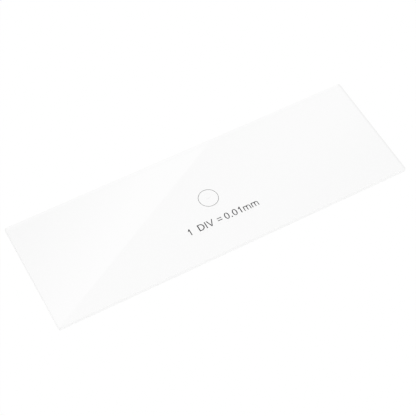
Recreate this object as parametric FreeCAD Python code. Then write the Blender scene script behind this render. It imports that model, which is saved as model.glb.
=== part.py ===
# Stage micrometer slide: a clear glass plate that carries, on its top face, a finder ring,
# a finely ruled scale inside the ring and a one-line legend that gives the value of a division.
#
# Frame: the origin is at the centre of the underside, +X runs along the slide, +Y across it
# (the legend reads along +X, its tops towards +Y) and +Z points up out of the ruled face.
# Every size is in millimetres.
import FreeCAD
import Part

import math
import os

# The glass plate.
SLIDE_LENGTH = 76.0
SLIDE_WIDTH = 25.0
SLIDE_THICKNESS = 1.0
CORNER_RADIUS = 0.3  # the four upright corners are lightly rounded by the grinding wheel
ARRIS_CHAMFER = 0.1  # a ground flat runs along every edge of the top and of the underside

# The dark metal film. A real one is about a tenth of a micrometre thick.
FILM_THICKNESS = 0.001

# The finder ring, round the middle of the plate.
RING_DIAMETER = 4.0  # measured at the middle of the line
RING_LINE = 0.08

# The ruled scale, in the middle of the ring. Every fifth line is longer, every tenth longest.
DIVISION = 0.01
DIVISION_COUNT = 100
RULED_LINE = 0.002
PLAIN_LENGTH = 0.10
FIFTH_LENGTH = 0.15
TENTH_LENGTH = 0.20

# The legend's lettering.
CAP_HEIGHT = 1.5
SMALL_HEIGHT = 1.1  # of a small letter
STEM = 0.20  # an upright stroke of a capital or a figure
SMALL_STEM = 0.17  # an upright stroke of a small letter
BAR = 0.16  # a level stroke
FIGURE_WIDTH = 1.0
ONE_WIDTH = 0.6
ONE_FLAG_DROP = 0.36  # from the top of the figure one down to the tip of its flag
D_STRAIGHT = 0.54  # the level stretch of a capital D before its round bowl
V_WIDTH = 1.38
M_PITCH = 0.655  # from one leg of a small m to the next
M_SHOULDER = 0.34  # radius of the outer shoulders of a small m

# The legend's place and spacing.
LEGEND_CLEARANCE = 2.62  # between the ring and the tops of the capitals
LEGEND_START = -7.38  # where the first figure starts, from the ring's centre
LETTER_GAP = 0.28
BEFORE_V = 0.21  # a V leans away from its neighbour, so it stands closer
AFTER_ONE = 0.25  # a figure one is narrow, and keeps this much more room after it
WIDE_SPACE = 1.38
SPACE = 0.82
THIN_SPACE = 0.61


def point(x, y):
    """A point on the plate's top face."""
    return FreeCAD.Vector(x, y, SLIDE_THICKNESS)


def line(start, end):
    return Part.LineSegment(point(*start), point(*end)).toShape()


def quarter(start, end, centre):
    """A quarter of a circle between two points round a centre."""
    radius = math.dist(start, centre)
    reach = math.hypot(start[0] + end[0] - 2 * centre[0], start[1] + end[1] - 2 * centre[1])
    middle = [c + (s + e - 2 * c) * radius / reach for s, e, c in zip(start, end, centre)]
    return Part.Arc(point(*start), point(*middle), point(*end)).toShape()


def polygon(*corners):
    """A flat face with straight sides."""
    outline = [point(x, y) for x, y in corners]
    return Part.Face(Part.makePolygon(outline + outline[:1]))


def rectangle(x0, y0, x1, y1):
    return polygon((x0, y0), (x1, y0), (x1, y1), (x0, y1))


def disc(radius):
    return Part.Face(Part.Wire(Part.makeCircle(radius, point(0, 0))))


def upright_ellipse(centre, half_width, half_height):
    """A flat elliptical face that is taller than it is wide."""
    x, y = centre
    top = point(x, y + half_height)
    curve = Part.Ellipse(top, point(x - half_width, y), point(x, y))
    return Part.Face(Part.Wire(curve.toShape()))


def film(*faces):
    """Metal film over flat faces of the plate's top, as one solid where they overlap."""
    solids = [face.extrude(FreeCAD.Vector(0, 0, FILM_THICKNESS)) for face in faces]
    if len(solids) == 1:
        return solids[0]
    return solids[0].fuse(solids[1:]).removeSplitter()


def glass_slide():
    """The plate, with rounded upright corners and a narrow ground flat along its other edges."""
    low_corner = FreeCAD.Vector(-SLIDE_LENGTH / 2, -SLIDE_WIDTH / 2, 0)
    plate = Part.makeBox(SLIDE_LENGTH, SLIDE_WIDTH, SLIDE_THICKNESS, low_corner)
    upright = [edge for edge in plate.Edges if edge.BoundBox.ZLength > SLIDE_THICKNESS / 2]
    plate = plate.makeFillet(CORNER_RADIUS, upright)
    level = [edge for edge in plate.Edges if edge.BoundBox.ZLength < SLIDE_THICKNESS / 2]
    return plate.makeChamfer(ARRIS_CHAMFER, level)


def finder_ring():
    radius = RING_DIAMETER / 2
    return film(disc(radius + RING_LINE / 2).cut(disc(radius - RING_LINE / 2)))


def ruled_length(index):
    if index % 10 == 0:
        return TENTH_LENGTH
    if index % 5 == 0:
        return FIFTH_LENGTH
    return PLAIN_LENGTH


def ruled_scale():
    """The scale's lines, each its own stripe of film. All of them stand on one level."""
    start = -DIVISION * DIVISION_COUNT / 2
    foot = -TENTH_LENGTH / 2
    stripes = []
    for index in range(DIVISION_COUNT + 1):
        left = start + index * DIVISION - RULED_LINE / 2
        stripes.append(film(rectangle(left, foot, left + RULED_LINE, foot + ruled_length(index))))
    return Part.makeCompound(stripes)


# Each glyph stands on the base line and starts at x = 0. Its function gives its film and width.


def figure_one():
    flag_tip = CAP_HEIGHT - ONE_FLAG_DROP
    outline = polygon(
        (ONE_WIDTH - STEM, 0),
        (ONE_WIDTH, 0),
        (ONE_WIDTH, CAP_HEIGHT),
        (ONE_WIDTH - 0.7 * STEM, CAP_HEIGHT),
        (0, flag_tip),
        (0, flag_tip - BAR),
        (ONE_WIDTH - STEM, CAP_HEIGHT - 0.75 * ONE_FLAG_DROP),
    )
    return film(outline), ONE_WIDTH


def figure_nought():
    centre = (FIGURE_WIDTH / 2, CAP_HEIGHT / 2)
    outside = upright_ellipse(centre, FIGURE_WIDTH / 2, CAP_HEIGHT / 2)
    inside = upright_ellipse(centre, FIGURE_WIDTH / 2 - STEM, CAP_HEIGHT / 2 - BAR)
    return film(outside.cut(inside)), FIGURE_WIDTH


def decimal_point():
    return film(rectangle(0, 0, STEM, STEM)), STEM


def equals_sign():
    """Two bars, as far apart as a third of the capitals' height and centred on them."""
    pitch = CAP_HEIGHT / 3
    bars = []
    for middle in (CAP_HEIGHT / 2 - pitch / 2, CAP_HEIGHT / 2 + pitch / 2):
        bars.append(film(rectangle(0, middle - BAR / 2, FIGURE_WIDTH, middle + BAR / 2)))
    return Part.makeCompound(bars), FIGURE_WIDTH


def bowl(left, straight, low, high):
    """A face that is straight for a stretch from its left side and ends in a half circle."""
    radius = (high - low) / 2
    bend = left + straight
    centre = (bend, low + radius)
    tip = (bend + radius, low + radius)
    return Part.Face(
        Part.Wire(
            [
                line((left, low), (bend, low)),
                quarter((bend, low), tip, centre),
                quarter(tip, (bend, high), centre),
                line((bend, high), (left, high)),
                line((left, high), (left, low)),
            ]
        )
    )


def capital_d():
    """Level strokes as thick as a bar run into a bowl that is as thick as a stem at its tip."""
    outside = bowl(0, D_STRAIGHT, 0, CAP_HEIGHT)
    inside = bowl(STEM, D_STRAIGHT - 2 * STEM + BAR, BAR, CAP_HEIGHT - BAR)
    return film(outside.cut(inside)), D_STRAIGHT + CAP_HEIGHT / 2


def capital_i():
    return film(rectangle(0, 0, STEM, CAP_HEIGHT)), STEM


def capital_v():
    """Two slanted strokes of one width, which meet in a blunt foot."""
    slant = (V_WIDTH - STEM) / 2 / CAP_HEIGHT
    crotch = CAP_HEIGHT - (V_WIDTH / 2 - STEM) / slant
    outline = polygon(
        (0, CAP_HEIGHT),
        (STEM, CAP_HEIGHT),
        (V_WIDTH / 2, crotch),
        (V_WIDTH - STEM, CAP_HEIGHT),
        (V_WIDTH, CAP_HEIGHT),
        (V_WIDTH / 2 + STEM / 2, 0),
        (V_WIDTH / 2 - STEM / 2, 0),
    )
    return film(outline), V_WIDTH


def doorway(left, right, height, radius):
    """A face like a doorway: it stands on the base line, and its two top corners are round."""
    spring = height - radius
    return Part.Face(
        Part.Wire(
            [
                line((left, 0), (right, 0)),
                line((right, 0), (right, spring)),
                quarter((right, spring), (right - radius, height), (right - radius, spring)),
                line((right - radius, height), (left + radius, height)),
                quarter((left + radius, height), (left, spring), (left + radius, spring)),
                line((left, spring), (left, 0)),
            ]
        )
    )


def small_m():
    """A square-topped stem and two arches, the second of which springs from the first."""
    strokes = [rectangle(0, 0, SMALL_STEM, SMALL_HEIGHT)]
    for left in (0, M_PITCH):
        right = left + M_PITCH + SMALL_STEM
        outside = doorway(left, right, SMALL_HEIGHT, M_SHOULDER)
        counter = doorway(
            left + SMALL_STEM,
            right - SMALL_STEM,
            SMALL_HEIGHT - BAR,
            M_SHOULDER - SMALL_STEM,
        )
        strokes.append(outside.cut(counter))
    return film(*strokes), 2 * M_PITCH + SMALL_STEM


def scale_legend():
    """The lettering, which says that one division is a hundredth of a millimetre."""
    spaced_glyphs = [
        (figure_one, AFTER_ONE + WIDE_SPACE),
        (capital_d, LETTER_GAP),
        (capital_i, BEFORE_V),
        (capital_v, SPACE),
        (equals_sign, THIN_SPACE),
        (figure_nought, LETTER_GAP),
        (decimal_point, LETTER_GAP),
        (figure_nought, LETTER_GAP),
        (figure_one, AFTER_ONE + LETTER_GAP),
        (small_m, LETTER_GAP),
        (small_m, 0),
    ]
    x = LEGEND_START
    base_line = -(RING_DIAMETER / 2 + RING_LINE / 2 + LEGEND_CLEARANCE + CAP_HEIGHT)
    placed = []
    for glyph, gap_after in spaced_glyphs:
        shape, width = glyph()
        shape.translate(FreeCAD.Vector(x, base_line, 0))
        placed.extend(shape.Solids)
        x += width + gap_after
    return Part.makeCompound(placed)


NODES = {
    "glass_slide": glass_slide,
    "finder_ring": finder_ring,
    "ruled_scale": ruled_scale,
    "scale_legend": scale_legend,
}

os.makedirs("parts", exist_ok=True)
for name, build in NODES.items():
    shape = build()
    shape.exportStep(os.path.join("parts", name + ".step"))
    print(name, len(shape.Solids), "solids,", round(shape.Volume, 7), "mm3, valid", shape.isValid())
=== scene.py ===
import math

import bmesh
import bpy
from bpy.props import FloatProperty, FloatVectorProperty, IntProperty, PointerProperty
from mathutils import Matrix, Vector, noise


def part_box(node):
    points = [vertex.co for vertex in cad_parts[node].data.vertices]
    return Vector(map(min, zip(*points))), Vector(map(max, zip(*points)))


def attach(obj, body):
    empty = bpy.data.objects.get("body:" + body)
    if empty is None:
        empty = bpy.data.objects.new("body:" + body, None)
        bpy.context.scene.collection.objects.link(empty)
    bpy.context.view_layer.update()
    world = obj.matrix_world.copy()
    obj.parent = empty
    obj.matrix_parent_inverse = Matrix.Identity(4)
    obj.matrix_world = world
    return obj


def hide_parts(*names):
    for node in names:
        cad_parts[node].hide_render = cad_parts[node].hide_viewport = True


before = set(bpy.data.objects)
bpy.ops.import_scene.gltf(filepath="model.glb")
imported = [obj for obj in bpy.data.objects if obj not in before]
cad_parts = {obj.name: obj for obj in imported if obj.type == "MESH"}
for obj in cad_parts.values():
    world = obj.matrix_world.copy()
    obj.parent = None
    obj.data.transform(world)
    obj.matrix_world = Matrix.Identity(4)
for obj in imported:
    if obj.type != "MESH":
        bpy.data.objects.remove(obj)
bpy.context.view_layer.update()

bl_info = {
    "name": "Microscope slide",
    "version": (1, 0, 0),
    "blender": (4, 5, 0),
    "location": "3D View > Sidebar > Slide",
    "description": "Clear glass slide with a finder ring, a ruled scale and its legend, on a studio floor",
    "category": "Object",
}

MILLIMETRE = 0.001

PLATE_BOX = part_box("glass_slide")
RING_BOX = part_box("finder_ring")
PLATE_TOP = PLATE_BOX[1].z


# ---------------------------------------------------------------- sizes and colours

class PlateSettings(bpy.types.PropertyGroup):
    """Sizes and finish of the glass plate."""

    corner_radius: FloatProperty(
        name="Corner radius", description="Radius ground on the four upright corners",
        default=0.3 * MILLIMETRE, min=0.05 * MILLIMETRE, unit="LENGTH", precision=5)
    arris: FloatProperty(
        name="Arris", description="Width of the bevel ground where an edge meets a face",
        default=0.1 * MILLIMETRE, min=0.01 * MILLIMETRE, unit="LENGTH", precision=5)
    arris_wander: FloatProperty(
        name="Arris wander", description="Share by which the ground bevel widens and narrows",
        default=0.15, min=0.0, max=0.5, subtype="FACTOR")
    face_relief: FloatProperty(
        name="Face relief",
        description="How far the top face stands below its packed height, clear of the film",
        default=0.0005 * MILLIMETRE, unit="LENGTH", precision=7)
    glass_colour: FloatVectorProperty(
        name="Glass colour", description="Colour of the polished faces",
        default=(1.0, 1.0, 1.0), min=0.0, max=1.0, size=3, subtype="COLOR")
    long_edge_colour: FloatVectorProperty(
        name="Long edge colour", description="Colour of the ground long sides, seen from outside",
        default=(0.954, 0.954, 0.954), min=0.0, max=1.0, size=3, subtype="COLOR")
    # The ends are frosted like the long sides; their darker colour is painted shade.
    end_colour: FloatVectorProperty(
        name="End colour", description="Colour of the coarser ground ends, seen from outside",
        default=(0.872, 0.872, 0.872), min=0.0, max=1.0, size=3, subtype="COLOR")
    # Below one, this paints shade on the bevels, which catch more light than the sides.
    painted_arris_tone: FloatProperty(
        name="Arris tone", description="Brightness of the ground bevels against the sides between them",
        default=0.98, min=0.0, max=1.0, subtype="FACTOR")
    end_drift: FloatProperty(
        name="End drift", description="How much darker an end is at its far corner than in its middle",
        default=0.02, min=0.0, max=0.2, subtype="FACTOR")
    long_edge_tint: FloatVectorProperty(
        name="Long edge tint", description="Colour of the light that leaves the glass by a long side",
        default=(0.98, 0.98, 0.98), min=0.0, max=1.0, size=3, subtype="COLOR")
    end_tint: FloatVectorProperty(
        name="End tint", description="Colour of the light that leaves the glass by an end",
        default=(0.862, 0.862, 0.862), min=0.0, max=1.0, size=3, subtype="COLOR")
    refraction_index: FloatProperty(
        name="Refraction index", description="Refraction index of soda lime glass",
        default=1.52, min=1.0, max=2.0)


class PrintSettings(bpy.types.PropertyGroup):
    """Sizes and colours of the dark film: ring, scale and legend."""

    ring_line: FloatProperty(
        name="Ring line", description="Width of the finder ring's line",
        default=0.08 * MILLIMETRE, min=0.01 * MILLIMETRE, unit="LENGTH", precision=5)
    ring_steps: IntProperty(
        name="Ring steps", description="Straight steps that the ring is made of",
        default=192, min=24, max=1024)
    capital_stem: FloatProperty(
        name="Capital stem", description="Width of an upright stroke in figures and capitals",
        default=0.21 * MILLIMETRE, unit="LENGTH", precision=5)
    small_stem: FloatProperty(
        name="Small stem", description="Width of an upright stroke in small letters",
        default=0.17 * MILLIMETRE, unit="LENGTH", precision=5)
    bar: FloatProperty(
        name="Bar", description="Width of a level stroke",
        default=0.16 * MILLIMETRE, unit="LENGTH", precision=5)
    film_colour: FloatVectorProperty(
        name="Film colour", description="Colour of the dark film",
        default=(0.012, 0.012, 0.014), min=0.0, max=1.0, size=3, subtype="COLOR")
    rule_colour: FloatVectorProperty(
        name="Rule colour", description="Colour of the scale's hairlines, whose film is the thinnest",
        default=(0.52, 0.52, 0.53), min=0.0, max=1.0, size=3, subtype="COLOR")


class StudioSettings(bpy.types.PropertyGroup):
    """Camera, floor and light."""

    azimuth: FloatProperty(
        name="Camera azimuth", description="Side that the camera looks from",
        default=math.radians(-28.585), subtype="ANGLE")
    elevation: FloatProperty(
        name="Camera elevation", description="Height of the camera above the horizon",
        default=math.radians(55.445), subtype="ANGLE")
    distance: FloatProperty(
        name="Camera distance", description="From the camera to the point it looks at",
        default=248.14 * MILLIMETRE, unit="LENGTH", precision=4)
    aim: FloatVectorProperty(
        name="Camera aim", description="Point that the camera looks at",
        default=(-0.874 * MILLIMETRE, -1.463 * MILLIMETRE, 0.0), size=3, subtype="TRANSLATION",
        unit="LENGTH", precision=5)
    lens: FloatProperty(
        name="Lens", description="Focal length of the camera in millimetres on a 36 mm sensor",
        default=109.6, min=10.0, unit="CAMERA")
    floor_reach: FloatProperty(
        name="Floor reach", description="From the middle of the floor to its edge",
        default=3.0, unit="LENGTH")
    floor_colour: FloatVectorProperty(
        name="Floor colour", description="Colour of the floor and of the backdrop",
        default=(1.0, 1.0, 1.0), min=0.0, max=1.0, size=3, subtype="COLOR")
    floor_glow: FloatProperty(
        name="Floor glow", description="Share of the floor's white that no shadow dims",
        default=0.97, min=0.0, max=1.0, subtype="FACTOR")
    surround_tone: FloatProperty(
        name="Surround tone", description="Brightness of the grey surround that the glass mirrors",
        default=0.54, min=0.0, max=1.0, subtype="FACTOR")
    surround_sweep: FloatProperty(
        name="Surround sweep",
        description="How much the surround lightens at the far right and darkens at the near right",
        default=0.21, min=0.0, max=1.0, subtype="FACTOR")
    card_edge_tone: FloatProperty(
        name="Card edge tone", description="Brightness of the light card along its near edge",
        default=0.79, min=0.0, max=1.0, subtype="FACTOR")
    card_far_tone: FloatProperty(
        name="Card far tone", description="Brightness of the light card away from its near edge",
        default=0.28, min=0.0, max=1.0, subtype="FACTOR")
    ambient: FloatProperty(
        name="Ambient light", description="Share of the light that comes from all round",
        default=0.845, min=0.0, max=1.0, subtype="FACTOR")
    key_share: FloatProperty(
        name="Key light", description="Share of the floor's light that comes from the lamp",
        default=0.185, min=0.0, max=1.0, subtype="FACTOR")
    lamp_direction: FloatVectorProperty(
        name="Lamp direction", description="From the slide towards the lamp",
        default=(-0.58, -0.25, 0.80), size=3, subtype="DIRECTION")
    lamp_angle: FloatProperty(
        name="Lamp angle", description="How wide the lamp looks from the slide",
        default=math.radians(40.0), subtype="ANGLE")


# ---------------------------------------------------------------- shader maths

class Value:
    """A value socket whose sums, differences, products and comparisons become Math nodes."""

    def __init__(self, recipe, socket):
        self.recipe = recipe
        self.socket = socket

    def maths(self, operation, one, other):
        return self.recipe.node("ShaderNodeMath", {"operation": operation}, {0: one, 1: other}).value(0)

    def __add__(self, other):
        return self.maths("ADD", self, other)

    def __radd__(self, other):
        return self.maths("ADD", other, self)

    def __sub__(self, other):
        return self.maths("SUBTRACT", self, other)

    def __rsub__(self, other):
        return self.maths("SUBTRACT", other, self)

    def __mul__(self, other):
        return self.maths("MULTIPLY", self, other)

    def __rmul__(self, other):
        return self.maths("MULTIPLY", other, self)

    def __lt__(self, other):
        return self.maths("LESS_THAN", self, other)

    def __gt__(self, other):
        return self.maths("GREATER_THAN", self, other)


class Placed:
    """A node in a recipe, with its outputs at hand."""

    def __init__(self, recipe, node):
        self.recipe = recipe
        self.node = node

    def value(self, output):
        return Value(self.recipe, self.node.outputs[output])

    def link(self, output):
        return self.node.outputs[output]


class Recipe:
    """The nodes of one material or of the world."""

    def __init__(self, owner):
        owner.use_nodes = True
        self.of_material = isinstance(owner, bpy.types.Material)
        self.tree = owner.node_tree
        self.tree.nodes.clear()

    def node(self, kind, settings, sockets):
        """Adds a node: its settings come first, then the values or links of its sockets."""
        made = self.tree.nodes.new(kind)
        for name, setting in settings.items():
            setattr(made, name, setting)
        for name, wanted in sockets.items():
            if isinstance(wanted, Value):
                wanted = wanted.socket
            if isinstance(wanted, bpy.types.NodeSocket):
                self.tree.links.new(wanted, made.inputs[name])
            else:
                made.inputs[name].default_value = wanted
        return Placed(self, made)

    def place(self):
        """The place on the object, in metres."""
        return self.node("ShaderNodeTexCoord", {}, {}).link("Object")

    def axes(self, place):
        """A place whose X, Y and Z can be taken as values."""
        return self.node("ShaderNodeSeparateXYZ", {}, {0: place})

    def stretched(self, place, scale):
        """A place with each of its axes scaled by a number of its own."""
        return self.node("ShaderNodeMapping", {}, {"Vector": place, "Scale": scale}).link(0)

    def noise(self, place, scale, detail):
        """Soft random values from 0 to 1."""
        return self.node("ShaderNodeTexNoise", {}, {
            "Vector": place, "Scale": scale, "Detail": detail}).value("Fac")

    def bump(self, strength, distance, height):
        """A normal that follows a height."""
        return self.node("ShaderNodeBump", {}, {
            "Strength": strength, "Distance": distance, "Height": height}).link("Normal")

    def colour_mix(self, factor, one, other):
        """One colour at a factor of 0, the other at 1."""
        first, second, result = 6, 7, 2  # where a Mix node keeps its colour sockets
        return self.node("ShaderNodeMix", {"data_type": "RGBA"}, {
            "Factor": factor, first: one, second: other}).link(result)

    def ramp(self, value, reach, results, kind):
        """A value's reach, from end to end, laid out between two results and held there beyond it."""
        return self.node("ShaderNodeMapRange", {"clamp": True, "interpolation_type": kind}, {
            "Value": value, "From Min": reach[0], "From Max": reach[1],
            "To Min": results[0], "To Max": results[1]}).value(0)

    def shader_mix(self, factor, one, other):
        """One shader at a factor of 0, the other at 1."""
        return self.node("ShaderNodeMixShader", {}, {0: factor, 1: one, 2: other}).link(0)

    def surface(self, shader):
        """Gives a shader to the material's output, or to the world's."""
        kind = "ShaderNodeOutputMaterial" if self.of_material else "ShaderNodeOutputWorld"
        self.node(kind, {}, {"Surface": shader})


def opaque(colour):
    """A colour with its alpha."""
    return (*colour, 1.0)


BLACK = opaque((0.0, 0.0, 0.0))


# ---------------------------------------------------------------- materials

# The scale of a noise is about how many of its spots fit in a metre.


def polished_glass(settings):
    """Clear float glass: nearly flawless, with a faint waviness and the marks of a wipe."""
    wave_scale = 45.0
    wave_strength = 0.02
    wave_depth = 0.02 * MILLIMETRE
    wipe_scale = (60.0, 400.0, 60.0)  # the marks are long along the slide and narrow across it
    most_roughness = 0.02
    material = bpy.data.materials.new("polished_glass")
    recipe = Recipe(material)
    place = recipe.place()
    smear = recipe.noise(recipe.stretched(place, wipe_scale), scale=1.0, detail=3.0)
    waves = recipe.noise(place, wave_scale, detail=0.0)
    shader = recipe.node("ShaderNodeBsdfPrincipled", {}, {
        "Base Color": opaque(settings.glass_colour),
        "Roughness": smear * most_roughness,
        "IOR": settings.refraction_index,
        "Transmission Weight": 1.0,
        "Normal": recipe.bump(wave_strength, wave_depth, waves)}).link(0)
    recipe.surface(shader)
    return material


def ground_glass(settings):
    """The same glass where a wheel has ground it: frosted outside, and clear to light from inside."""
    line_scale = (300.0, 300.0, 14000.0)  # the wheel's lines run along the sides
    grain_scale = 9000.0
    line_share = 0.6  # of the relief, and the grain has the rest
    relief_strength = 0.15
    relief_depth = 0.01 * MILLIMETRE
    relief_shade = 0.04  # how much the relief darkens the colour
    least_roughness = 0.70
    more_roughness = 0.3
    specular_level = 0.2
    material = bpy.data.materials.new("ground_glass")
    recipe = Recipe(material)
    place = recipe.place()
    lines = recipe.noise(recipe.stretched(place, line_scale), scale=1.0, detail=4.0)
    grain = recipe.noise(place, grain_scale, detail=3.0)
    relief = lines * line_share + grain * (1.0 - line_share)
    axes = recipe.axes(place)
    x = axes.value("X")
    end_starts = PLATE_BOX[1].x - settings.corner_radius
    on_end = x * x > end_starts * end_starts
    height = axes.value("Z") - (PLATE_BOX[0].z + PLATE_BOX[1].z) / 2.0
    side_half = (PLATE_BOX[1].z - PLATE_BOX[0].z) / 2.0 - settings.arris
    on_arris = height * height > side_half * side_half
    drift = on_end * axes.value("Y") * (settings.end_drift / PLATE_BOX[1].y)
    # The bevels' darkening is painted shade; the relief's is the grain's own tone, and the drift makes an
    # end darker towards its far corner.
    darkening_with_painted_shade = on_arris * (1.0 - settings.painted_arris_tone) + relief * relief_shade + drift

    def by_side(long_colour, end_colour):
        return recipe.colour_mix(on_end, opaque(long_colour), opaque(end_colour))

    # The ends' colour, darker than the long sides', is painted shade.
    outside_colour = by_side(settings.long_edge_colour, settings.end_colour)
    frosted = recipe.node("ShaderNodeBsdfPrincipled", {}, {
        "Base Color": recipe.colour_mix(darkening_with_painted_shade, outside_colour, BLACK),
        "Roughness": least_roughness + relief * more_roughness,
        "IOR": settings.refraction_index,
        "Specular IOR Level": specular_level,
        "Normal": recipe.bump(relief_strength, relief_depth, relief)}).link(0)
    from_inside = recipe.node("ShaderNodeBsdfPrincipled", {}, {
        "Base Color": by_side(settings.long_edge_tint, settings.end_tint),
        "Roughness": 0.0,
        "IOR": 1.0,
        "Transmission Weight": 1.0}).link(0)
    inside = recipe.node("ShaderNodeNewGeometry", {}, {}).value("Backfacing")
    recipe.surface(recipe.shader_mix(inside, frosted, from_inside))
    return material


def metal_film(name, film_colour):
    """A thin metal film, a little uneven where it was laid down."""
    material = bpy.data.materials.get(name)
    if material:
        return material
    cloud_scale = 4000.0
    offset = 0.012  # the thinnest film is lighter by this much, and by the gain
    gain = 1.1
    least_roughness = 0.28
    more_roughness = 0.15
    material = bpy.data.materials.new(name)
    recipe = Recipe(material)
    cloud = recipe.noise(recipe.place(), cloud_scale, detail=3.0)
    lighter = tuple(min(1.0, offset + gain * part) for part in film_colour)
    shader = recipe.node("ShaderNodeBsdfPrincipled", {}, {
        "Base Color": recipe.colour_mix(cloud, opaque(film_colour), opaque(lighter)),
        "Roughness": least_roughness + cloud * more_roughness}).link(0)
    recipe.surface(shader)
    return material


# ---------------------------------------------------------------- shapes

def to_object(name, shape, materials):
    """Puts a finished bmesh, in metres, into the scene as an object."""
    mesh = bpy.data.meshes.new(name)
    shape.to_mesh(mesh)
    shape.free()
    for material in materials:
        mesh.materials.append(material)
    made = bpy.data.objects.new(name, mesh)
    bpy.context.scene.collection.objects.link(made)
    return made


def arc(centre_x, centre_y, radius_x, radius_y, start, end, steps):
    """Points on an upright ellipse from one angle to another, in degrees."""
    angles = [math.radians(start + (end - start) * step / steps) for step in range(steps + 1)]
    return [(centre_x + radius_x * math.cos(a), centre_y + radius_y * math.sin(a)) for a in angles]


def ellipse(centre_x, centre_y, radius_x, radius_y, steps):
    """Points all round an upright ellipse."""
    return arc(centre_x, centre_y, radius_x, radius_y, 0, 360, steps)[:-1]


def rounded_rectangle(half_length, half_width, radius, spacing):
    """Points round a rectangle with round corners, each with its outward direction."""
    corner_steps = 8
    long_run = half_length - radius
    short_run = half_width - radius
    points = []
    for turn, (sign_x, sign_y) in enumerate(((1, 1), (-1, 1), (-1, -1), (1, -1))):
        for step in range(corner_steps + 1):
            angle = math.radians(90.0 * (turn + step / corner_steps))
            outward = Vector((math.cos(angle), math.sin(angle), 0.0))
            corner = Vector((sign_x * long_run, sign_y * short_run, 0.0))
            points.append((corner + radius * outward, outward))
        next_run = 2.0 * (long_run if turn % 2 == 0 else short_run)
        direction = Vector((-math.sin(angle), math.cos(angle), 0.0))
        steps = max(1, round(next_run / spacing))
        start = points[-1][0]
        for step in range(1, steps):
            points.append((start + direction * next_run * step / steps, outward))
    return points


def plate_shape(settings):
    """A flat plate with rounded corners and softly ground arrises all round."""
    spacing = 0.8 * MILLIMETRE
    arris_steps = 4
    side_row = 1.3  # bevel widths from a face: a row on the side itself keeps the side flat to the light
    wander_scale = 700.0
    wander_shift = 9.0  # lets the upper and the lower arris wander each in its own way
    ground_material = 1  # the second of the plate's two
    low, high = PLATE_BOX
    half_length = (high.x - low.x) / 2.0
    half_width = (high.y - low.y) / 2.0
    outline = rounded_rectangle(half_length, half_width, settings.corner_radius, spacing)
    bottom = low.z
    top = high.z - settings.face_relief
    turned = [math.radians(90.0 * step / arris_steps) for step in range(arris_steps + 1)]
    bevel = [(1.0 - math.sin(angle), 1.0 - math.cos(angle)) for angle in turned]
    bevel.append((0.0, side_row))
    section = [(inset, lift, bottom, 1.0) for inset, lift in bevel]
    section += [(inset, lift, top, -1.0) for inset, lift in reversed(bevel)]
    shape = bmesh.new()
    loops = []
    for inset, lift, level, side in section:
        loop = []
        for point, outward in outline:
            wander = noise.noise(point * wander_scale + Vector((0.0, 0.0, side * wander_shift)))
            width = settings.arris * (1.0 + settings.arris_wander * wander)
            place = point - outward * inset * width
            loop.append(shape.verts.new((place.x, place.y, level + side * lift * width)))
        loops.append(loop)
    for lower, upper in zip(loops, loops[1:]):
        for index in range(len(outline)):
            after = (index + 1) % len(outline)
            face = shape.faces.new((lower[index], lower[after], upper[after], upper[index]))
            face.material_index = ground_material
            face.smooth = True
    for loop in (loops[0], loops[-1]):
        polished = shape.faces.new(loop)
        for edge in polished.edges:
            edge.smooth = False
    bmesh.ops.recalc_face_normals(shape, faces=shape.faces[:])
    return shape


def level_sheet(x0, x1, y0, y1, level):
    """A flat level rectangle."""
    shape = bmesh.new()
    corners = ((x0, y0), (x1, y0), (x1, y1), (x0, y1))
    shape.faces.new([shape.verts.new((x, y, level)) for x, y in corners])
    return shape


def film_shape(outlines, box):
    """Flat film between the heights of a box.

    The outlines are in millimetres, and one within another is a hole.
    """
    shape = bmesh.new()
    for outline in outlines:
        corners = [shape.verts.new((x, y, 0.0)) for x, y in outline]
        for one, other in zip(corners, corners[1:] + corners[:1]):
            shape.edges.new((one, other))
    bmesh.ops.triangle_fill(shape, use_beauty=True, edges=shape.edges[:])
    raised = bmesh.ops.extrude_face_region(shape, geom=shape.faces[:])
    thickness = (box[1].z - box[0].z) / MILLIMETRE
    for part in raised["geom"]:
        if isinstance(part, bmesh.types.BMVert):
            part.co.z = thickness
    bmesh.ops.recalc_face_normals(shape, faces=shape.faces[:])
    shape.transform(Matrix.Translation((0.0, 0.0, box[0].z)) @ Matrix.Scale(MILLIMETRE, 4))
    return shape


# ---------------------------------------------------------------- figures and letters

# Each sign takes its box and the pen, and gives its outlines, all in millimetres.


def figure_one(low, high, pen):
    """A figure one: an upright stem at the right with a short thin flag."""
    x0, y0 = low
    x1, y1 = high
    stem = 0.96 * pen.stem
    flag = 0.72 * pen.bar
    outer_drop = 0.42  # from the top of the stem down to the flag's tip
    inner_drop = 0.70 * outer_drop  # and to where the flag meets the stem
    tip = x0 + 0.10
    crest = x1 - 0.7 * stem
    return [[(x1, y0), (x1, y1), (crest, y1), (tip, y1 - outer_drop), (tip, y1 - outer_drop - flag),
             (x1 - stem, y1 - inner_drop - flag), (x1 - stem, y0)]]


def figure_nought(low, high, pen):
    """A figure nought: an upright ellipse with thinner top and bottom."""
    steps = 64
    centre_x = (low[0] + high[0]) / 2.0
    centre_y = (low[1] + high[1]) / 2.0
    reach_x = (high[0] - low[0]) / 2.0
    reach_y = (high[1] - low[1]) / 2.0
    return [ellipse(centre_x, centre_y, reach_x, reach_y, steps),
            ellipse(centre_x, centre_y, reach_x - pen.stem, reach_y - pen.bar, steps)]


def block(low, high, pen):
    """A plain upright block, such as a capital I. The pen is there to be called like the others."""
    return [[low, (high[0], low[1]), high, (low[0], high[1])]]


def decimal_point(low, high, pen):
    """A square point, a little wider than a stem, that stands on the base line."""
    side = 1.12 * pen.stem
    middle = (low[0] + high[0]) / 2.0
    return block((middle - side / 2.0, low[1]), (middle + side / 2.0, low[1] + side), pen)


def equals_sign(low, high, pen):
    """Two level bars."""
    lower = block(low, (high[0], low[1] + pen.bar), pen)
    upper = block((low[0], high[1] - pen.bar), high, pen)
    return lower + upper


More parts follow.
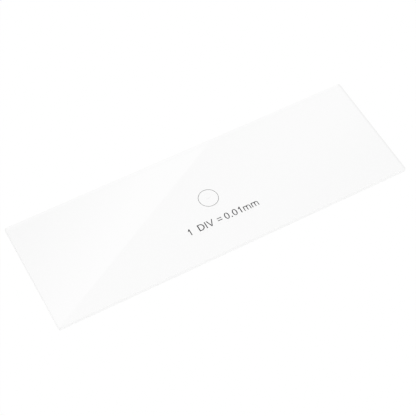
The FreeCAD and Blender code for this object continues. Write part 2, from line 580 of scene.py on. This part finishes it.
def half_round(x0, x1, y0, y1, straight):
    """An outline square at the left and round at the right, as of a capital D."""
    steps = 32
    middle = (y0 + y1) / 2.0
    reach_x = x1 - x0 - straight
    reach_y = (y1 - y0) / 2.0
    return [(x0, y1), (x0, y0)] + arc(x0 + straight, middle, reach_x, reach_y, -90, 90, steps)


def capital_d(low, high, pen):
    """A capital D, a little heavier than the other letters."""
    weight = 1.08
    straight = 0.54
    stem = weight * pen.stem
    bar = weight * pen.bar
    inner_straight = straight - 2.0 * stem + bar
    return [half_round(low[0], high[0], low[1], high[1], straight),
            half_round(low[0] + stem, high[0] - stem, low[1] + bar, high[1] - bar, inner_straight)]


def capital_v(low, high, pen):
    """A capital V with flat ends."""
    x0, y0 = low
    x1, y1 = high
    middle = (x0 + x1) / 2.0
    stroke = pen.stem * 0.97
    crotch = y0 + 0.26
    return [[(x0, y1), (middle - stroke / 2.0, y0), (middle + stroke / 2.0, y0), (x1, y1),
             (x1 - stroke, y1), (middle, crotch), (x0 + stroke, y1)]]


def small_m(low, high, pen):
    """A small m: three stems under two round shoulders."""
    x0, y0 = low
    x1, y1 = high
    pitch = (x1 - x0 - pen.small_stem) / 2.0
    shoulder = (pitch + pen.small_stem) / 2.0
    counter = shoulder - pen.small_stem
    spring = y1 - shoulder
    stem_top = y1 - 0.02  # the first stem ends just below the shoulders
    join = y1 - 0.20  # where the first shoulder leaves it
    join_angle = 122
    valley_angle = 62  # where the two shoulders meet
    counter_steps = 16
    first_steps = 10
    second_steps = 20
    outline = [(x0, stem_top), (x0, y0), (x0 + pen.small_stem, y0)]
    for arch in range(2):
        left = x0 + arch * pitch
        top = y1 - pen.bar
        outline += arc(left + shoulder, spring, counter, top - spring, 180, 0, counter_steps)
        outline += [(left + pitch, y0), (left + pitch + pen.small_stem, y0)]
    first = x0 + shoulder
    second = x0 + pitch + shoulder
    outline += arc(second, spring, shoulder, shoulder, 0, 180 - valley_angle, second_steps)
    outline += arc(first, spring, shoulder, shoulder, valley_angle, join_angle, first_steps)
    outline += [(x0 + pen.small_stem, join), (x0 + pen.small_stem, stem_top)]
    return [outline]


class Pen:
    """Stroke widths in millimetres."""

    def __init__(self, settings):
        self.stem = settings.capital_stem / MILLIMETRE
        self.small_stem = settings.small_stem / MILLIMETRE
        self.bar = settings.bar / MILLIMETRE


LEGEND = (figure_one, capital_d, block, capital_v, equals_sign, figure_nought, decimal_point,
          figure_nought, figure_one, small_m, small_m)


def glyph_boxes(node):
    """Boxes of the figures and letters of a CAD node, left to right, in millimetres."""
    apart = 0.1  # pieces of film that stand nearer to each other than this are one sign
    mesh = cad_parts[node].data
    points = [vertex.co / MILLIMETRE for vertex in mesh.vertices]
    faces = [[points[index] for index in face.vertices] for face in mesh.polygons]
    boxes = []
    for face in sorted(faces, key=lambda corners: min(corner.x for corner in corners)):
        low = (min(corner.x for corner in face), min(corner.y for corner in face))
        high = (max(corner.x for corner in face), max(corner.y for corner in face))
        if boxes and low[0] < boxes[-1][1][0] + apart:
            seen_low, seen_high = boxes.pop()
            low = tuple(map(min, low, seen_low))
            high = tuple(map(max, high, seen_high))
        boxes.append((low, high))
    return boxes


# ---------------------------------------------------------------- operators

class SLIDE_OT_glass_plate(bpy.types.Operator):
    """Build the clear glass plate"""

    bl_idname = "slide.glass_plate"
    bl_label = "Glass plate"

    def execute(self, context):
        settings = context.scene.slide_plate
        plate = to_object("glass_plate", plate_shape(settings),
                          [polished_glass(settings), ground_glass(settings)])
        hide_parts("glass_slide")
        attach(plate, "root")
        return {"FINISHED"}


class SLIDE_OT_finder_ring(bpy.types.Operator):
    """Build the ring that marks where the ruled scale is"""

    bl_idname = "slide.finder_ring"
    bl_label = "Finder ring"

    def execute(self, context):
        settings = context.scene.slide_print
        outer = (RING_BOX[1].x - RING_BOX[0].x) / 2.0 / MILLIMETRE
        inner = outer - settings.ring_line / MILLIMETRE
        outlines = [ellipse(0.0, 0.0, radius, radius, settings.ring_steps) for radius in (outer, inner)]
        ring = to_object("finder_ring_film", film_shape(outlines, RING_BOX),
                         [metal_film("dark_film", settings.film_colour)])
        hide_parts("finder_ring")
        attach(ring, "root")
        return {"FINISHED"}


class SLIDE_OT_ruled_scale(bpy.types.Operator):
    """Give the ruled scale its dark film"""

    bl_idname = "slide.ruled_scale"
    bl_label = "Ruled scale"

    def execute(self, context):
        settings = context.scene.slide_print
        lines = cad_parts["ruled_scale"]
        lines.data.materials.clear()
        lines.data.materials.append(metal_film("hairline_film", settings.rule_colour))
        return {"FINISHED"}


class SLIDE_OT_scale_legend(bpy.types.Operator):
    """Build the figures and letters that give the scale's division"""

    bl_idname = "slide.scale_legend"
    bl_label = "Scale legend"

    def execute(self, context):
        settings = context.scene.slide_print
        pen = Pen(settings)
        boxes = glyph_boxes("scale_legend")
        if len(boxes) != len(LEGEND):
            raise RuntimeError(f"the frame's legend has {len(boxes)} signs, and {len(LEGEND)} are drawn")
        outlines = [outline for sign, box in zip(LEGEND, boxes) for outline in sign(*box, pen)]
        legend = to_object("scale_legend_film", film_shape(outlines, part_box("scale_legend")),
                           [metal_film("dark_film", settings.film_colour)])
        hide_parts("scale_legend")
        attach(legend, "root")
        return {"FINISHED"}


# ---------------------------------------------------------------- stage

def back_direction(settings):
    """From the point looked at towards the camera."""
    flat = math.cos(settings.elevation)
    return Vector((math.sin(settings.azimuth) * flat, -math.cos(settings.azimuth) * flat,
                   math.sin(settings.elevation)))


def studio_camera(settings):
    """The camera at its angle, looking at the aim point."""
    sensor_width = 36.0
    near_clip = 0.01
    far_clip = 10.0
    camera = bpy.data.cameras.new("camera")
    camera.sensor_width = sensor_width
    camera.lens = settings.lens
    camera.clip_start = near_clip
    camera.clip_end = far_clip
    holder = bpy.data.objects.new("camera", camera)
    back = back_direction(settings)
    holder.location = Vector(settings.aim) + back * settings.distance
    holder.rotation_mode = "QUATERNION"
    holder.rotation_quaternion = (-back).to_track_quat("-Z", "Y")
    bpy.context.scene.collection.objects.link(holder)
    bpy.context.scene.camera = holder


HALF_WAY = 0.5  # between the no and the yes of a mark


def ray_marks(recipe):
    """Three marks of a ray: from the camera, by way of mirror or glass, sent on by no matt surface."""
    path = recipe.node("ShaderNodeLightPath", {}, {})
    by_glass = path.value("Is Glossy Ray") + path.value("Is Transmission Ray")
    return path.value("Is Camera Ray"), by_glass, path.value("Diffuse Depth") < HALF_WAY


def seen_share(recipe):
    """One for rays from the camera, or by way of mirror or glass, that no matt surface has sent on."""
    from_camera, by_glass, unscattered = ray_marks(recipe)
    return (from_camera + by_glass > HALF_WAY) * unscattered


def studio_world(settings):
    """White behind everything, and plain light from all round."""
    world = bpy.data.worlds.new("studio")
    bpy.context.scene.world = world
    recipe = Recipe(world)
    seen = seen_share(recipe)
    strength = seen * (1.0 - settings.ambient) + settings.ambient
    sky = recipe.node("ShaderNodeBackground", {}, {
        "Color": opaque(settings.floor_colour), "Strength": strength}).link(0)
    recipe.surface(sky)


def floor_finish(settings):
    """White paper: mostly its own even white, the rest lit, so that shadows stay."""
    material = bpy.data.materials.new("floor_paper")
    material.cycles.emission_sampling = "NONE"
    recipe = Recipe(material)
    from_camera, by_glass, unscattered = ray_marks(recipe)
    share = from_camera * settings.floor_glow + by_glass * unscattered
    colour = opaque(settings.floor_colour)
    paper = recipe.node("ShaderNodeBsdfDiffuse", {}, {"Color": colour}).link(0)
    glow = recipe.node("ShaderNodeEmission", {}, {"Color": colour, "Strength": 1.0}).link(0)
    recipe.surface(recipe.shader_mix(share, paper, glow))
    return material


def studio_floor(settings):
    """A wide level floor just under the slide."""
    clearance = 0.02 * MILLIMETRE
    reach = settings.floor_reach
    sheet = level_sheet(-reach, reach, -reach, reach, PLATE_BOX[0].z - clearance)
    floor = to_object("floor", sheet, [floor_finish(settings)])


def mirror_only(piece):
    """Shows a stage piece to the rays that glass mirrors or bends, and to no others."""
    piece.visible_camera = False
    piece.visible_diffuse = False
    piece.visible_volume_scatter = False
    piece.visible_shadow = False


def glowing(name, tone_of):
    """A material that gives out grey light of a tone worked out from the place."""
    material = bpy.data.materials.new(name)
    material.cycles.emission_sampling = "NONE"  # no matt surface sees it, so none looks for it
    recipe = Recipe(material)
    tone = tone_of(recipe)
    glow = recipe.node("ShaderNodeEmission", {}, {"Color": tone, "Strength": 1.0}).link(0)
    clear = recipe.node("ShaderNodeBsdfTransparent", {}, {}).link(0)
    recipe.surface(recipe.shader_mix(seen_share(recipe), clear, glow))
    return material


def grey_surround(settings):
    """A grey dome round the set, which the glass mirrors."""
    radius = 1.5
    # Where the tone changes: upwards, to the right and to the back, in shares of the radius.
    turns_grey = (0.0, 0.25)
    sweep_grows = (0.26, 0.42)
    sweep_turns = (0.44, 0.51)

    def tone(recipe):
        axes = recipe.axes(recipe.place())

        def ramp(axis, stretch, low, high):
            return recipe.ramp(axes.value(axis), (stretch[0] * radius, stretch[1] * radius), (low, high),
                               "SMOOTHSTEP")

        grey = ramp("Z", turns_grey, 1.0, settings.surround_tone)
        sweep = ramp("X", sweep_grows, 0.0, settings.surround_sweep) * ramp("Y", sweep_turns, -1.0, 1.0)
        return grey + (1.0 - grey) * sweep

    shape = bmesh.new()
    bmesh.ops.create_uvsphere(shape, u_segments=64, v_segments=32, radius=radius)
    dome = to_object("grey_surround", shape, [glowing("surround_grey", tone)])
    mirror_only(dome)


def light_card(settings):
    """A card that the slide's far left mirrors: light along its straight edge, and darker beyond."""
    height = 0.40
    reach = 0.35
    depth = 0.30
    # Where the mirrored edge shows on the slide, in millimetres.
    edge_start = (-33.55, -10.0)
    edge_end = (6.7, 11.75)
    # How the card's tone fades away from its edge, in metres: the lines of even tone lean a little.
    fade_lean = 0.22
    fade_starts = 0.0115
    fade_ends = 0.0735
    # How wide the soft edge is at the card's middle, in metres, and how much it grows per metre.
    softness = 0.0008
    more_softness = 0.006
    eye = Vector(settings.aim) + back_direction(settings) * settings.distance
    mirrored = Vector((eye.x, eye.y, 2.0 * PLATE_TOP - eye.z))

    def cast(x, y):
        """The place at the card's height that a spot on the slide mirrors to the camera."""
        spot = Vector((x * MILLIMETRE, y * MILLIMETRE, PLATE_TOP))
        return mirrored + (spot - mirrored) * (height - mirrored.z) / (spot.z - mirrored.z)

    def tone(recipe):
        axes = recipe.axes(recipe.place())
        x = axes.value("X")
        y = axes.value("Y")
        card_tone = recipe.ramp(y - x * fade_lean, (fade_starts, fade_ends),
                                (settings.card_edge_tone, settings.card_far_tone), "LINEAR")
        within = recipe.ramp(y, (0.0, x * more_softness + softness), (0.0, 1.0), "LINEAR")
        return settings.surround_tone + within * (card_tone - settings.surround_tone)

    one = cast(*edge_start)
    other = cast(*edge_end)
    along = (other - one).normalized()
    across = Vector((-along.y, along.x, 0.0))
    sheet = level_sheet(-reach, reach, 0.0, depth, 0.0)
    card = to_object("light_card", sheet, [glowing("card_glow", tone)])
    card.matrix_world = Matrix.Translation((one + other) / 2.0) @ Matrix((
        (along.x, across.x, 0.0, 0.0),
        (along.y, across.y, 0.0, 0.0),
        (0.0, 0.0, 1.0, 0.0),
        (0.0, 0.0, 0.0, 1.0)))
    mirror_only(card)


def key_light(settings):
    """One wide soft lamp from the front left."""
    towards = Vector(settings.lamp_direction).normalized()
    lamp = bpy.data.lights.new("key_light", "SUN")
    lamp.angle = settings.lamp_angle
    lamp.energy = math.pi * settings.key_share / towards.z
    holder = bpy.data.objects.new("key_light", lamp)
    holder.rotation_mode = "QUATERNION"
    holder.rotation_quaternion = towards.to_track_quat("Z", "Y")
    holder.visible_glossy = False
    bpy.context.scene.collection.objects.link(holder)


class SLIDE_OT_studio(bpy.types.Operator):
    """Set up the floor, the light and the camera"""

    bl_idname = "slide.studio"
    bl_label = "Studio"

    def execute(self, context):
        settings = context.scene.slide_studio
        studio_camera(settings)
        studio_world(settings)
        studio_floor(settings)
        grey_surround(settings)
        light_card(settings)
        key_light(settings)
        context.scene.view_settings.view_transform = "Standard"
        return {"FINISHED"}


# ---------------------------------------------------------------- panel and start

class SLIDE_PT_panel(bpy.types.Panel):
    """Lists the steps that build the slide"""

    bl_idname = "SLIDE_PT_panel"
    bl_label = "Microscope slide"
    bl_space_type = "VIEW_3D"
    bl_region_type = "UI"
    bl_category = "Slide"

    def draw(self, context):
        for operator in OPERATORS:
            self.layout.operator(operator.bl_idname)


SETTINGS = {"slide_plate": PlateSettings, "slide_print": PrintSettings, "slide_studio": StudioSettings}
OPERATORS = (SLIDE_OT_glass_plate, SLIDE_OT_finder_ring, SLIDE_OT_ruled_scale, SLIDE_OT_scale_legend,
             SLIDE_OT_studio)


def register():
    for settings in SETTINGS.values():
        bpy.utils.register_class(settings)
    for name, settings in SETTINGS.items():
        setattr(bpy.types.Scene, name, PointerProperty(type=settings))
    for operator in OPERATORS:
        bpy.utils.register_class(operator)
    bpy.utils.register_class(SLIDE_PT_panel)


def unregister():
    bpy.utils.unregister_class(SLIDE_PT_panel)
    for operator in reversed(OPERATORS):
        bpy.utils.unregister_class(operator)
    for name in SETTINGS:
        delattr(bpy.types.Scene, name)
    for settings in SETTINGS.values():
        bpy.utils.unregister_class(settings)


def main():
    """Builds the slide and its stage."""
    register()
    bpy.ops.slide.glass_plate()
    bpy.ops.slide.finder_ring()
    bpy.ops.slide.ruled_scale()
    bpy.ops.slide.scale_legend()
    bpy.ops.slide.studio()


if __name__ == "__main__":
    main()
